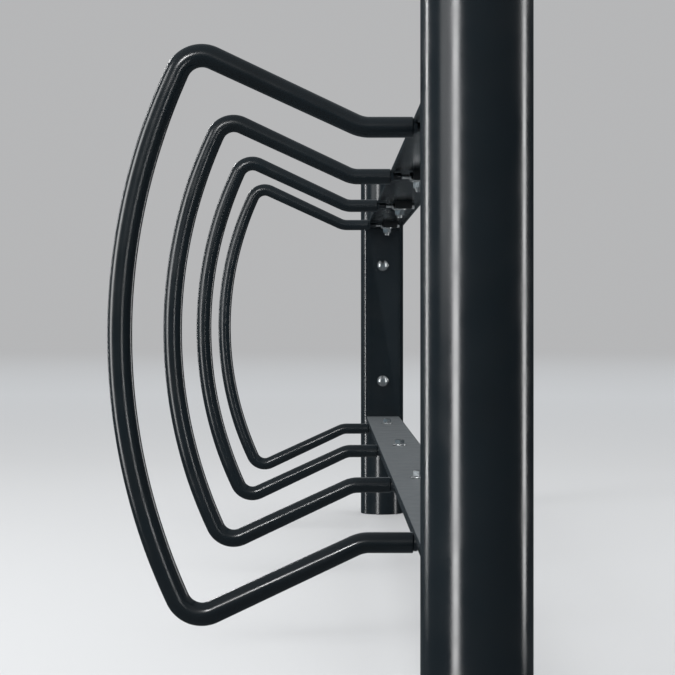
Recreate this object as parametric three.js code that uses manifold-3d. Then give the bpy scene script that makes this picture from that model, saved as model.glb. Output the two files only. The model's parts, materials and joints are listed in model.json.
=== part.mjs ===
// A cycle rack. Two round posts stand on the floor, and two long rails run between them, one
// above the other, welded to an end plate at each post. Bowed loops of tube reach out from the
// rails on one side, all in planes across the rails, so that a cycle stands between two loops
// and is locked to either. Each loop has a straight end at each rail: its spigot goes through a
// tab of the rail, and a long bolt, a jam nut and a clamp block under the rail hold it there.
//
// x points across the rack from the loops to the posts, y along the rails and z up from the
// floor. The origin is on the floor, in the middle of the rack's length and width.
// Lengths are in millimetres and angles in degrees.

import * as THREE from 'three';
import { mergeVertices } from 'three/addons/utils/BufferGeometryUtils.js';
import Module from 'manifold-3d';

const wasm = await Module();
wasm.setup();

// Layout
const loopCount = 4;
const loopPitch = 800;
const lowerEndHeight = 237;
const endSpacing = 480;
const seatGap = 0.3;

// Posts
const postHeight = 860;
const postDiameter = 108;
const postWall = 5;
const capRimHeight = 4;
const capCrownHeight = 3;
const capSpigotDepth = 20;
const footThickness = 10;

// Loop of tube, round at its ends and pressed oval along the bow, wider in the loop's plane
// and shallower across it. Distances are measured outward from the plane of the posts.
const endTubeDiameter = 24.3;
const bowTubeWidth = 29;
const bowTubeDepth = 18;
const tubeWall = 2.5;
const endBendReach = 103;
const cornerReach = 302;
const bowDepth = 80.5;
const armAngle = 25;
const endBendRadius = 42;
const cornerRadius = 31;
const swellLength = 320;
const plugLength = 14;
const spigotDiameter = 11.8;
const spigotLength = 17;

// Rail, a shallow folded channel with its open side down
const railWidth = 86;
const railDepth = 8.5;
const railSheet = 4;
const foldRadius = 2.5;
const tabWidth = 34;
const tabDrop = 21;
const tongueWidth = 50;

// End plate
const plateThickness = 8;
const plateCornerRadius = 4;
const plateBoltSpacing = 292;
const plateBoltLength = 26;

// Clamp block under the rail
const blockFront = 8;
const blockBack = 24;
const blockDrop = 6.5;
const blockLength = 48;
const blockEdge = 1.5;
const clampOffset = 16;

// Clamp bolt and its flanged nut
const clampDiameter = 12;
const clampHoleClearance = 0.5;
const clampHeadHeight = 11.5;
const clampAcrossFlats = 18;
const clampNutHeight = 12;
const clampTail = 6;
const flangeDiameter = 27;
const flangeRim = 1.6;
const flangeSlope = 1.6;

// Draw bolt, which pulls the loop's plug towards the block, and its jam nut
const drawDiameter = 8;
const drawHoleClearance = 0.4;
const drawAcrossFlats = 13;
const drawHeadHeight = 5.3;
const drawNutHeight = 5.8;
const drawGrip = 10;

// Facets
const cutOverrun = 1;
const tubeSides = 12;
const postSides = 32;
const boltSides = 12;
const bowSteps = 12;
const cornerSteps = 5;
const endBendSteps = 2;

// Sizes worked out from those above
const along = new THREE.Vector3(0, 1, 0);
const postRadius = postDiameter / 2;
const postInnerRadius = postRadius - postWall;
const upperEndHeight = lowerEndHeight + endSpacing;
const loopMiddle = (lowerEndHeight + upperEndHeight) / 2;
const endReach = railWidth / 2 + seatGap;
const bowReach = cornerReach + bowDepth;
const loopFront = bowReach + bowTubeWidth / 2;
const postX = (loopFront - postRadius) / 2;
const postY = loopCount * loopPitch / 2;
const railRise = endTubeDiameter / 2;
const railUnderside = railRise - railSheet;
const plateY = postY - postRadius - seatGap - plateThickness;
const railLength = 2 * (plateY - seatGap);
const plateBottom = lowerEndHeight + railRise - railDepth;
const plateTop = upperEndHeight + railRise;
const clampHoleRadius = clampDiameter / 2 + clampHoleClearance;
const drawHoleRadius = drawDiameter / 2 + drawHoleClearance;

const paint = new THREE.MeshStandardMaterial({ color: 0x262d2f, roughness: 0.32, metalness: 0.1 });
const steel = new THREE.MeshStandardMaterial({ color: 0xb9bdbe, roughness: 0.25, metalness: 1 });

// A closed geometry becomes a solid that can be joined and cut, and back.
function solidOf(geometry) {
  const bare = geometry.index ? geometry.toNonIndexed() : geometry.clone();
  bare.deleteAttribute('normal');
  bare.deleteAttribute('uv');
  const merged = mergeVertices(bare);
  const vertProperties = new Float32Array(merged.attributes.position.array);
  const triVerts = new Uint32Array(merged.index.array);
  return new wasm.Manifold(new wasm.Mesh({ numProp: 3, vertProperties, triVerts }));
}

function geometryOf(solid) {
  const mesh = solid.getMesh();
  const geometry = new THREE.BufferGeometry();
  geometry.setAttribute('position', new THREE.BufferAttribute(new Float32Array(mesh.vertProperties), 3));
  geometry.setIndex(new THREE.BufferAttribute(new Uint32Array(mesh.triVerts), 1));
  const faceted = geometry.toNonIndexed();
  faceted.computeVertexNormals();
  return faceted;
}

// A box between two corners.
function box(low, high) {
  const size = new THREE.Vector3().subVectors(high, low);
  const middle = new THREE.Vector3().addVectors(low, high).multiplyScalar(0.5);
  const geometry = new THREE.BoxGeometry(size.x, size.y, size.z);
  geometry.translate(middle.x, middle.y, middle.z);
  return solidOf(geometry);
}

// A round or many-sided rod from one point to another, tapered where its ends differ.
function rod(start, end, startRadius, endRadius, sides) {
  const direction = new THREE.Vector3().subVectors(end, start);
  const length = direction.length();
  const geometry = new THREE.CylinderGeometry(endRadius, startRadius, length, sides);
  geometry.applyQuaternion(new THREE.Quaternion().setFromUnitVectors(along, direction.normalize()));
  const middle = new THREE.Vector3().addVectors(start, end).multiplyScalar(0.5);
  geometry.translate(middle.x, middle.y, middle.z);
  return solidOf(geometry);
}

function hexRadius(acrossFlats) {
  return acrossFlats / 2 / Math.cos(Math.PI / 6);
}

// A flanged hexagon that sits on z = 0 and rises along z.
function flangedHexagon(height) {
  const rim = new THREE.Vector3(0, 0, flangeRim);
  const slope = new THREE.Vector3(0, 0, flangeRim + flangeSlope);
  const hexagon = hexRadius(clampAcrossFlats);
  const disc = rod(new THREE.Vector3(), rim, flangeDiameter / 2, flangeDiameter / 2, boltSides);
  const cone = rod(rim, slope, flangeDiameter / 2, hexagon, boltSides);
  const head = rod(new THREE.Vector3(), new THREE.Vector3(0, 0, height), hexagon, hexagon, 6);
  return disc.add(cone).add(head);
}

// A flanged bolt whose head sits on z = 0, with its shank going down.
function flangedBolt(shankLength) {
  const radius = clampDiameter / 2;
  const shank = rod(new THREE.Vector3(0, 0, -shankLength), new THREE.Vector3(0, 0, flangeRim), radius, radius,
    boltSides);
  return geometryOf(flangedHexagon(clampHeadHeight).add(shank));
}

function flangedNut() {
  const low = new THREE.Vector3(0, 0, -cutOverrun);
  const high = new THREE.Vector3(0, 0, clampNutHeight + cutOverrun);
  const bore = rod(low, high, clampHoleRadius, clampHoleRadius, boltSides);
  return geometryOf(flangedHexagon(clampNutHeight).subtract(bore));
}

// The draw bolt lies along x, with its head's bearing face at x = 0 and its shank towards -x.
function drawBolt(shankLength) {
  const headRadius = hexRadius(drawAcrossFlats);
  const head = rod(new THREE.Vector3(), new THREE.Vector3(drawHeadHeight, 0, 0), headRadius, headRadius, 6);
  const radius = drawDiameter / 2;
  const inside = new THREE.Vector3(drawHeadHeight / 2, 0, 0);
  const shank = rod(new THREE.Vector3(-shankLength, 0, 0), inside, radius, radius, boltSides);
  return geometryOf(head.add(shank));
}

function jamNut() {
  const radius = hexRadius(drawAcrossFlats);
  const hexagon = rod(new THREE.Vector3(-drawNutHeight, 0, 0), new THREE.Vector3(), radius, radius, 6);
  const bore = rod(new THREE.Vector3(-drawNutHeight - cutOverrun, 0, 0), new THREE.Vector3(cutOverrun, 0, 0),
    drawHoleRadius, drawHoleRadius, boltSides);
  return geometryOf(hexagon.subtract(bore));
}

// Half of a loop's centre line, from the straight end to the middle of the bow, as stations
// with a reach, a height above the loop's middle and the direction of travel.
function halfLoopStations() {
  const slope = THREE.MathUtils.degToRad(armAngle);
  const endHeight = endSpacing / 2;
  const cornerHeight = endHeight + (cornerReach - endBendReach) * Math.tan(slope);
  const bowRadius = (cornerHeight ** 2 + bowDepth ** 2) / (2 * bowDepth);
  const bowCentre = bowReach - bowRadius;
  const stations = [];
  const station = (reach, height, angle) => stations.push({ reach, height, angle });

  station(endReach, endHeight, 0);
  const bendSetback = endBendRadius * Math.tan(slope / 2);
  for (let i = 0; i <= endBendSteps; i += 1) {
    const angle = slope * i / endBendSteps;
    const reach = endBendReach - bendSetback + endBendRadius * Math.sin(angle);
    station(reach, endHeight + endBendRadius * (1 - Math.cos(angle)), angle);
  }

  // The corner's centre lies its radius inside both the arm and the bow.
  const offsetHeight = endHeight - endBendReach * Math.tan(slope) - cornerRadius / Math.cos(slope);
  const reachTerm = 1 + Math.tan(slope) ** 2;
  const halfTerm = bowCentre - offsetHeight * Math.tan(slope);
  const constantTerm = bowCentre ** 2 + offsetHeight ** 2 - (bowRadius - cornerRadius) ** 2;
  const centreReach = (halfTerm + Math.sqrt(halfTerm ** 2 - reachTerm * constantTerm)) / reachTerm;
  const centreHeight = offsetHeight + centreReach * Math.tan(slope);
  const bowStart = Math.atan2(centreHeight, centreReach - bowCentre);
  const turn = Math.PI / 2 + slope - bowStart;
  for (let i = 0; i <= cornerSteps; i += 1) {
    const angle = slope - turn * i / cornerSteps;
    const reach = centreReach - cornerRadius * Math.sin(angle);
    station(reach, centreHeight + cornerRadius * Math.cos(angle), angle);
  }

  const halfSteps = bowSteps / 2;
  for (let i = 1; i <= halfSteps; i += 1) {
    const around = bowStart * (1 - i / halfSteps);
    station(bowCentre + bowRadius * Math.cos(around), bowRadius * Math.sin(around), around - Math.PI / 2);
  }
  return stations;
}

// The whole centre line, the lower half being the mirror image of the upper one.
function loopStations() {
  const upper = halfLoopStations();
  const lower = upper.slice(0, -1).reverse();
  const mirror = ({ reach, height, angle }) => ({ reach, height: -height, angle: -Math.PI - angle });
  return [...upper, ...lower.map(mirror)];
}

// The tube turns from round to oval steadily from each end bend, and stays oval along the bow.
function tubeSections(stations) {
  const distances = [0];
  for (let i = 1; i < stations.length; i += 1) {
    const before = stations[i - 1];
    const here = stations[i];
    const step = Math.hypot(here.reach - before.reach, here.height - before.height);
    distances.push(distances[i - 1] + step);
  }
  const total = distances[distances.length - 1];
  const straight = endBendReach - endReach;
  return distances.map((distance) => {
    const fromBend = Math.min(distance, total - distance) - straight;
    const grown = THREE.MathUtils.clamp(fromBend / swellLength, 0, 1);
    return {
      halfWidth: THREE.MathUtils.lerp(endTubeDiameter, bowTubeWidth, grown) / 2,
      halfDepth: THREE.MathUtils.lerp(endTubeDiameter, bowTubeDepth, grown) / 2,
    };
  });
}

// A round or oval ring of points about a station, in the plane square to the centre line. The
// loop lies at y = 0 with its reach towards -x.
function ringAt({ reach, height, angle }, halfWidth, halfDepth = halfWidth) {
  const ring = [];
  for (let i = 0; i < tubeSides; i += 1) {
    const around = 2 * Math.PI * i / tubeSides;
    const outward = halfWidth * Math.cos(around);
    ring.push(new THREE.Vector3(-(reach - outward * Math.sin(angle)), halfDepth * Math.sin(around),
      height + outward * Math.cos(angle)));
  }
  return ring;
}

// A body bounded by rings that follow one another round and come back to the first.
function bodyOfRings(rings) {
  const positions = [];
  const index = [];
  const sides = rings[0].length;
  rings.forEach((ring) => ring.forEach((point) => positions.push(point.x, point.y, point.z)));
  for (let i = 0; i < rings.length; i += 1) {
    const next = (i + 1) % rings.length;
    for (let j = 0; j < sides; j += 1) {
      const k = (j + 1) % sides;
      const here = i * sides;
      const there = next * sides;
      index.push(here + j, here + k, there + k, here + j, there + k, there + j);
    }
  }
  const geometry = new THREE.BufferGeometry();
  geometry.setAttribute('position', new THREE.Float32BufferAttribute(positions, 3));
  geometry.setIndex(index);
  const faceted = geometry.toNonIndexed();
  faceted.computeVertexNormals();
  return faceted;
}

// A loop of tube with a bored plug and a spigot in each end.
function loopGeometry() {
  const stations = loopStations();
  const sections = tubeSections(stations);
  const boreRadius = endTubeDiameter / 2 - tubeWall;
  const first = stations[0];
  const last = stations[stations.length - 1];
  const shifted = (end, distance) => ({ ...end, reach: end.reach + distance });
  const wallRings = (inset) => stations.map((station, i) => {
    const { halfWidth, halfDepth } = sections[i];
    return ringAt(station, halfWidth - inset, halfDepth - inset);
  });
  const outer = wallRings(0);
  const inner = wallRings(tubeWall);
  inner[0] = ringAt(shifted(first, plugLength), boreRadius);
  inner[inner.length - 1] = ringAt(shifted(last, plugLength), boreRadius);
  const endRings = (end) => [
    ringAt(end, spigotDiameter / 2),
    ringAt(shifted(end, -spigotLength), spigotDiameter / 2),
    ringAt(shifted(end, -spigotLength), drawHoleRadius),
    ringAt(shifted(end, plugLength), drawHoleRadius),
  ];
  return bodyOfRings([...outer, ...endRings(last), ...inner.reverse(), ...endRings(first).reverse()]);
}

// The rail's section across its width, with z = 0 at its top and rounded outer folds.
function railSection() {
  const half = railWidth / 2;
  const section = new THREE.Shape();
  section.moveTo(-half, -railDepth);
  section.lineTo(-half, -foldRadius);
  section.absarc(-half + foldRadius, -foldRadius, foldRadius, Math.PI, Math.PI / 2, true);
  section.lineTo(half - foldRadius, 0);
  section.absarc(half - foldRadius, -foldRadius, foldRadius, Math.PI / 2, 0, true);
  section.lineTo(half, -railDepth);
  section.lineTo(half - railSheet, -railDepth);
  section.lineTo(half - railSheet, -railSheet);
  section.lineTo(-half + railSheet, -railSheet);
  section.lineTo(-half + railSheet, -railDepth);
  section.closePath();
  return section;
}

function loopPlaces() {
  return Array.from({ length: loopCount }, (unused, i) => (i - (loopCount - 1) / 2) * loopPitch);
}

// A rail along y, with a drilled tab in its front lip and a clamp hole at each loop, and a
// tongue at each end. Its top is at z = 0 and its middle at x = 0.
function railGeometry() {
  const channel = new THREE.ExtrudeGeometry(railSection(), { depth: railLength, bevelEnabled: false,
    curveSegments: 3 });
  channel.rotateX(Math.PI / 2);
  channel.translate(0, railLength / 2, 0);
  const tongueReach = railLength / 2 + seatGap + plateThickness;
  const tongue = box(new THREE.Vector3(-tongueWidth / 2, -tongueReach, -railSheet),
    new THREE.Vector3(tongueWidth / 2, tongueReach, -foldRadius / 2));
  let rail = solidOf(channel).add(tongue);
  const half = railWidth / 2;
  for (const y of loopPlaces()) {
    const tab = box(new THREE.Vector3(-half, y - tabWidth / 2, -tabDrop),
      new THREE.Vector3(-half + railSheet, y + tabWidth / 2, -railSheet));
    const spigotHoleRadius = spigotDiameter / 2 + drawHoleClearance;
    const spigotHole = rod(new THREE.Vector3(-half - cutOverrun, y, -railRise),
      new THREE.Vector3(-half + railSheet + cutOverrun, y, -railRise), spigotHoleRadius, spigotHoleRadius,
      boltSides);
    const clampHole = rod(new THREE.Vector3(0, y - clampOffset, -railSheet - cutOverrun),
      new THREE.Vector3(0, y - clampOffset, cutOverrun), clampHoleRadius, clampHoleRadius, boltSides);
    rail = rail.add(tab).subtract(spigotHole).subtract(clampHole);
  }
  return geometryOf(rail);
}

function plateBoltHeights() {
  const middle = (plateBottom + plateTop) / 2;
  return [middle - plateBoltSpacing / 2, middle + plateBoltSpacing / 2];
}

// An end plate in the plane y = 0 to its thickness, with slots for both rails' tongues.
function plateGeometry() {
  const half = railWidth / 2;
  const outline = new THREE.Shape();
  const right = half - plateCornerRadius;
  const low = plateBottom + plateCornerRadius;
  const high = plateTop - plateCornerRadius;
  outline.moveTo(-right, plateBottom);
  outline.absarc(right, low, plateCornerRadius, -Math.PI / 2, 0);
  outline.absarc(right, high, plateCornerRadius, 0, Math.PI / 2);
  outline.absarc(-right, high, plateCornerRadius, Math.PI / 2, Math.PI);
  outline.absarc(-right, low, plateCornerRadius, Math.PI, 3 * Math.PI / 2);
  const flat = new THREE.ExtrudeGeometry(outline, { depth: plateThickness, bevelEnabled: false,
    curveSegments: 3 });
  flat.rotateX(Math.PI / 2);
  flat.translate(0, plateThickness, 0);
  let plate = solidOf(flat);
  for (const endHeight of [lowerEndHeight, upperEndHeight]) {
    const railTop = endHeight + railRise;
    const slotHalf = tongueWidth / 2 + seatGap;
    const slotTop = railTop - foldRadius / 2 + seatGap;
    const slot = box(new THREE.Vector3(-slotHalf, -cutOverrun, railTop - railSheet - seatGap),
      new THREE.Vector3(slotHalf, plateThickness + cutOverrun, slotTop));
    plate = plate.subtract(slot);
  }
  for (const height of plateBoltHeights()) {
    const hole = rod(new THREE.Vector3(0, -cutOverrun, height),
      new THREE.Vector3(0, plateThickness + cutOverrun, height), clampHoleRadius, clampHoleRadius, boltSides);
    plate = plate.subtract(hole);
  }
  return geometryOf(plate);
}

// A post's tube, with two holes for the plate bolts on the side towards -y.
function postGeometry() {
  const top = postHeight - capRimHeight - capCrownHeight - seatGap;
  const outer = rod(new THREE.Vector3(), new THREE.Vector3(0, 0, top), postRadius, postRadius, postSides);
  const inner = rod(new THREE.Vector3(0, 0, -cutOverrun), new THREE.Vector3(0, 0, top + cutOverrun),
    postInnerRadius, postInnerRadius, postSides);
  let post = outer.subtract(inner);
  for (const height of plateBoltHeights()) {
    const hole = rod(new THREE.Vector3(0, -postRadius - cutOverrun, height), new THREE.Vector3(0, 0, height),
      clampHoleRadius, clampHoleRadius, boltSides);
    post = post.subtract(hole);
  }
  return geometryOf(post);
}

// A cap with a low crown, a rim over the tube's end and a spigot inside it.
function capGeometry() {
  const spigotRadius = postInnerRadius - seatGap;
  const crownShares = [[1, 0], [0.92, 0.6], [0.6, 0.94], [0, 1]];
  const crown = crownShares.map(([outShare, riseShare]) => new THREE.Vector2(postRadius * outShare,
    capRimHeight + capCrownHeight * riseShare));
  const profile = [
    new THREE.Vector2(0, -capSpigotDepth),
    new THREE.Vector2(spigotRadius, -capSpigotDepth),
    new THREE.Vector2(spigotRadius, 0),
    new THREE.Vector2(postRadius, 0),
    ...crown,
  ];
  return turned(profile);
}

function footGeometry() {
  const radius = postInnerRadius - seatGap;
  return turned([
    new THREE.Vector2(0, 0),
    new THREE.Vector2(radius, 0),
    new THREE.Vector2(radius, footThickness),
    new THREE.Vector2(0, footThickness),
  ]);
}

// A profile turned about the z axis.
function turned(profile) {
  const geometry = new THREE.LatheGeometry(profile, postSides);
  geometry.rotateX(Math.PI / 2);
  return geometry;
}

// The clamp block, with z = 0 at the loop end's centre line: a bevelled bar drilled crosswise
// for the draw bolt and upright for the clamp bolt.
function blockGeometry() {
  const top = railUnderside - seatGap;
  const outline = new THREE.Shape();
  outline.moveTo(-blockFront, top);
  outline.lineTo(-blockFront, -blockDrop + blockEdge);
  outline.lineTo(-blockFront + blockEdge, -blockDrop);
  outline.lineTo(blockBack - blockEdge, -blockDrop);
  outline.lineTo(blockBack, -blockDrop + blockEdge);
  outline.lineTo(blockBack, top);
  outline.closePath();
  const bar = new THREE.ExtrudeGeometry(outline, { depth: blockLength, bevelEnabled: false });
  bar.rotateX(Math.PI / 2);
  const blockEnd = (blockLength - clampOffset) / 2;
  bar.translate(0, blockEnd, 0);
  const drawHole = rod(new THREE.Vector3(-blockFront - cutOverrun, 0, 0),
    new THREE.Vector3(blockBack + cutOverrun, 0, 0), drawHoleRadius, drawHoleRadius, boltSides);
  const clampHole = rod(new THREE.Vector3(0, -clampOffset, -blockDrop - cutOverrun),
    new THREE.Vector3(0, -clampOffset, top + cutOverrun), clampHoleRadius, clampHoleRadius, boltSides);
  return geometryOf(solidOf(bar).subtract(drawHole).subtract(clampHole));
}

function piece(name, geometry, material, x, y, z) {
  const mesh = new THREE.Mesh(geometry, material);
  mesh.name = name;
  mesh.position.set(x, y, z);
  return mesh;
}

// What stands at one end of the rack: the post, its cap and foot, the end plate and its bolts.
// Built for the end at +y, and turned half round for the other.
function endGroup(endName) {
  const group = new THREE.Group();
  group.add(piece(`post_${endName}`, postGeometry(), paint, 0, postY, 0));
  const capZ = postHeight - capRimHeight - capCrownHeight;
  group.add(piece(`post_cap_${endName}`, capGeometry(), paint, 0, postY, capZ));
  group.add(piece(`post_foot_${endName}`, footGeometry(), paint, 0, postY, 0));
  group.add(piece(`end_plate_${endName}`, plateGeometry(), paint, 0, plateY, 0));
  plateBoltHeights().forEach((height, i) => {
    const bolt = piece(`plate_bolt_${endName}_${i + 1}`, flangedBolt(plateBoltLength), steel, 0,
      plateY - seatGap, height);
    bolt.rotation.x = Math.PI / 2;
    group.add(bolt);
  });
  return group;
}

// The five pieces that hold one loop end, with the group's origin on that end's centre line.
function jointGroup(jointName) {
  const group = new THREE.Group();
  const clampGrip = railRise + seatGap + blockDrop;
  const clampLength = clampGrip + seatGap + clampNutHeight + clampTail;
  const drawLength = blockBack + seatGap + endReach + drawGrip;
  group.add(piece(`clamp_block_${jointName}`, blockGeometry(), paint, 0, 0, 0));
  group.add(piece(`clamp_bolt_${jointName}`, flangedBolt(clampLength), steel, 0, -clampOffset,
    railRise + seatGap));
  const nut = piece(`clamp_nut_${jointName}`, flangedNut(), steel, 0, -clampOffset, -blockDrop - seatGap);
  nut.rotation.x = Math.PI;
  group.add(nut);
  group.add(piece(`draw_bolt_${jointName}`, drawBolt(drawLength), steel, blockBack + seatGap, 0, 0));
  group.add(piece(`jam_nut_${jointName}`, jamNut(), steel, -blockFront - seatGap, 0, 0));
  return group;
}

function buildRack() {
  const rack = new THREE.Group();
  const posts = new THREE.Group();
  posts.position.x = postX;
  rack.add(posts);

  const nearEnd = endGroup('near');
  nearEnd.rotation.z = Math.PI;
  posts.add(nearEnd, endGroup('far'));

  const levels = [['lower', lowerEndHeight], ['upper', upperEndHeight]];
  for (const [levelName, endHeight] of levels) {
    posts.add(piece(`${levelName}_rail`, railGeometry(), paint, 0, 0, endHeight + railRise));
  }
  loopPlaces().forEach((y, i) => {
    posts.add(piece(`loop_${i + 1}`, loopGeometry(), paint, 0, y, loopMiddle));
    for (const [levelName, endHeight] of levels) {
      const joint = jointGroup(`${i + 1}_${levelName}`);
      joint.position.set(0, y, endHeight);
      posts.add(joint);
    }
  });
  return rack;
}

export default buildRack();
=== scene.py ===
import json
import math

import bmesh
import bpy
from mathutils import Matrix, Vector

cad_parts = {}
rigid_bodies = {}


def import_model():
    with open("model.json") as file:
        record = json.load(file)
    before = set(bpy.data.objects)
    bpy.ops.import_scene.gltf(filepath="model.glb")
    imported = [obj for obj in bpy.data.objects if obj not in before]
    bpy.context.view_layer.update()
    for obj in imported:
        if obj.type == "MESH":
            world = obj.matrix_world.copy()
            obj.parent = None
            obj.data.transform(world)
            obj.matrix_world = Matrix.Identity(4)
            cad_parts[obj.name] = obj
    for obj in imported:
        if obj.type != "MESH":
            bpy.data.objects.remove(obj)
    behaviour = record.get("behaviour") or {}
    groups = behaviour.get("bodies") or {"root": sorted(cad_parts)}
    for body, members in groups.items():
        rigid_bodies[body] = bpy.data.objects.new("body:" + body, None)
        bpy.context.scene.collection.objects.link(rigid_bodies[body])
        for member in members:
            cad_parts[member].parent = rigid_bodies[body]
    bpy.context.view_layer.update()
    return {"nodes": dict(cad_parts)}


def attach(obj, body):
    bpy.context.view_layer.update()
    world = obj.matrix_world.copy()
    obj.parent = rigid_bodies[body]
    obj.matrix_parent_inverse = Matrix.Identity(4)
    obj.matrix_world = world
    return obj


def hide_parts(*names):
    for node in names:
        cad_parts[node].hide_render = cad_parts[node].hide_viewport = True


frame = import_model()
print("frame loaded")

# Everything stands where the CAD says: the rails along y, the loops reaching towards -x.
rack = {
    "postX": 0.1715,
    "postY": 1.6,
    "loopY": (-1.2, -0.4, 0.4, 1.2),
    "endHeights": {"lower": 0.237, "upper": 0.717},
    "seatGap": 0.0003,
}


# Camera, at the photograph's distance and with its framing

cameraView = {
    "place": (0.0269, -3.507, 0.4953),
    "lens": 106.45,
    "sensor": 36.0,
    "shift": (0.0178, -0.0273),
    "nearest": 0.05,
    "farthest": 200.0,
}


def addCamera(view):
    data = bpy.data.cameras.new("photoCamera")
    data.lens = view["lens"]
    data.sensor_width = view["sensor"]
    data.shift_x, data.shift_y = view["shift"]
    data.clip_start = view["nearest"]
    data.clip_end = view["farthest"]
    camera = bpy.data.objects.new("photoCamera", data)
    camera.location = view["place"]
    camera.rotation_euler = (math.radians(90.0), 0.0, 0.0)
    bpy.context.collection.objects.link(camera)
    bpy.context.scene.camera = camera


addCamera(cameraView)
print("camera placed")


# Materials

def nodeMaterial(name):
    material = bpy.data.materials.new(name)
    material.use_nodes = True
    tree = material.node_tree
    return material, tree, tree.nodes["Principled BSDF"]


def noiseOn(tree, scale, detail=2.0, stretch=(1.0, 1.0, 1.0)):
    coordinates = tree.nodes.new("ShaderNodeTexCoord")
    mapping = tree.nodes.new("ShaderNodeMapping")
    mapping.inputs["Scale"].default_value = stretch
    noise = tree.nodes.new("ShaderNodeTexNoise")
    noise.inputs["Scale"].default_value = scale
    noise.inputs["Detail"].default_value = detail
    tree.links.new(coordinates.outputs["Object"], mapping.inputs["Vector"])
    tree.links.new(mapping.outputs["Vector"], noise.inputs["Vector"])
    return noise.outputs["Fac"]


def spread(tree, value, low, high, start=0.3, end=0.7):
    remap = tree.nodes.new("ShaderNodeMapRange")
    remap.inputs["From Min"].default_value = start
    remap.inputs["From Max"].default_value = end
    remap.inputs["To Min"].default_value = low
    remap.inputs["To Max"].default_value = high
    tree.links.new(value, remap.inputs["Value"])
    return remap.outputs["Result"]


def blended(tree, factor, first, second):
    mix = tree.nodes.new("ShaderNodeMix")
    mix.data_type = "RGBA"
    sockets = [socket for socket in mix.inputs if socket.type == "RGBA"]
    for socket, colour in zip(sockets, (first, second)):
        if isinstance(colour, tuple):
            socket.default_value = (*colour, 1.0)
        else:
            tree.links.new(colour, socket)
    tree.links.new(factor, mix.inputs[0])
    return [socket for socket in mix.outputs if socket.type == "RGBA"][0]


def relief(tree, heights):
    normal = None
    for value, strength, distance in heights:
        bump = tree.nodes.new("ShaderNodeBump")
        bump.inputs["Strength"].default_value = strength
        bump.inputs["Distance"].default_value = distance
        tree.links.new(value, bump.inputs["Height"])
        if normal is not None:
            tree.links.new(normal, bump.inputs["Normal"])
        normal = bump.outputs["Normal"]
    return normal


# Powder coat: dark blue-grey and glossy, with the faint orange peel of baked powder, a little
# dust on what faces up together with a painted light that lightens those tops as light from above
# does, and a thinner, paler film on sharp edges.
powderCoat = {
    "dark": (0.0029, 0.0057, 0.0079),
    "light": (0.0044, 0.0083, 0.0113),
    "edge": (0.012, 0.017, 0.021),
    "edgeShare": 0.5,
    "edgeFrom": 0.53,
    "edgeTo": 0.62,
    "dustAndTopLight": (0.118, 0.131, 0.140),
    "dustAndTopLightFrom": 0.955,
    "dustRoughness": 0.3,
    "speckleScale": 55.0,
    "speckleLeast": 0.85,
    "speckleFrom": 0.35,
    "speckleTo": 0.72,
    "cloudScale": 9.0,
    "roughScale": 23.0,
    "peelScale": 420.0,
    "peelStrength": 0.03,
    "peelDepth": 0.00012,
    "waveScale": 60.0,
    "waveStrength": 0.012,
    "waveDepth": 0.0004,
    "smooth": 0.17,
    "rough": 0.26,
    "gloss": 0.5,
}

# The clamp blocks are duller and less blue.
blockCoat = dict(powderCoat, dark=(0.004, 0.005, 0.006), light=(0.007, 0.008, 0.009), smooth=0.4,
                 rough=0.55)


def makePaint(name, look):
    material, tree, shader = nodeMaterial(name)
    cloud = noiseOn(tree, look["cloudScale"], 4.0)
    colour = blended(tree, spread(tree, cloud, 0.0, 1.0), look["dark"], look["light"])
    geometry = tree.nodes.new("ShaderNodeNewGeometry")
    edge = spread(tree, geometry.outputs["Pointiness"], 0.0, look["edgeShare"], look["edgeFrom"],
                  look["edgeTo"])
    colour = blended(tree, edge, colour, look["edge"])
    facing = tree.nodes.new("ShaderNodeSeparateXYZ")
    tree.links.new(geometry.outputs["Normal"], facing.inputs["Vector"])
    # Dust and painted light: faces that point up are lightened, partly as dust and partly as painted light
    # from above.
    upward = spread(tree, facing.outputs["Z"], 0.0, 1.0, look["dustAndTopLightFrom"], 1.0)
    speckle = spread(tree, noiseOn(tree, look["speckleScale"], 5.0), look["speckleLeast"], 1.0,
                     look["speckleFrom"], look["speckleTo"])
    dustAndTopLightShare = tree.nodes.new("ShaderNodeMath")
    dustAndTopLightShare.operation = "MULTIPLY"
    tree.links.new(upward, dustAndTopLightShare.inputs[0])
    tree.links.new(speckle, dustAndTopLightShare.inputs[1])
    colour = blended(tree, dustAndTopLightShare.outputs["Value"], colour, look["dustAndTopLight"])
    tree.links.new(colour, shader.inputs["Base Color"])
    rough = spread(tree, noiseOn(tree, look["roughScale"], 3.0), look["smooth"], look["rough"])
    dusty = tree.nodes.new("ShaderNodeMath")
    dusty.operation = "MULTIPLY_ADD"
    dusty.inputs[1].default_value = look["dustRoughness"]
    tree.links.new(dustAndTopLightShare.outputs["Value"], dusty.inputs[0])
    tree.links.new(rough, dusty.inputs[2])
    tree.links.new(dusty.outputs["Value"], shader.inputs["Roughness"])
    peel = noiseOn(tree, look["peelScale"], 1.0)
    wave = noiseOn(tree, look["waveScale"], 1.0)
    normal = relief(tree, ((peel, look["peelStrength"], look["peelDepth"]),
                           (wave, look["waveStrength"], look["waveDepth"])))
    tree.links.new(normal, shader.inputs["Normal"])
    shader.inputs["Specular IOR Level"].default_value = look["gloss"]
    return material


# Stainless steel of the bolts and nuts: bright, with fine turning marks and small stains.
stainless = {
    "dark": (0.46, 0.47, 0.475),
    "light": (0.74, 0.75, 0.755),
    "cloudScale": 160.0,
    "grainScale": 2600.0,
    "grainStretch": (1.0, 1.0, 0.12),
    "grainStrength": 0.12,
    "grainDepth": 0.00003,
    "smooth": 0.11,
    "rough": 0.24,
}


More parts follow.
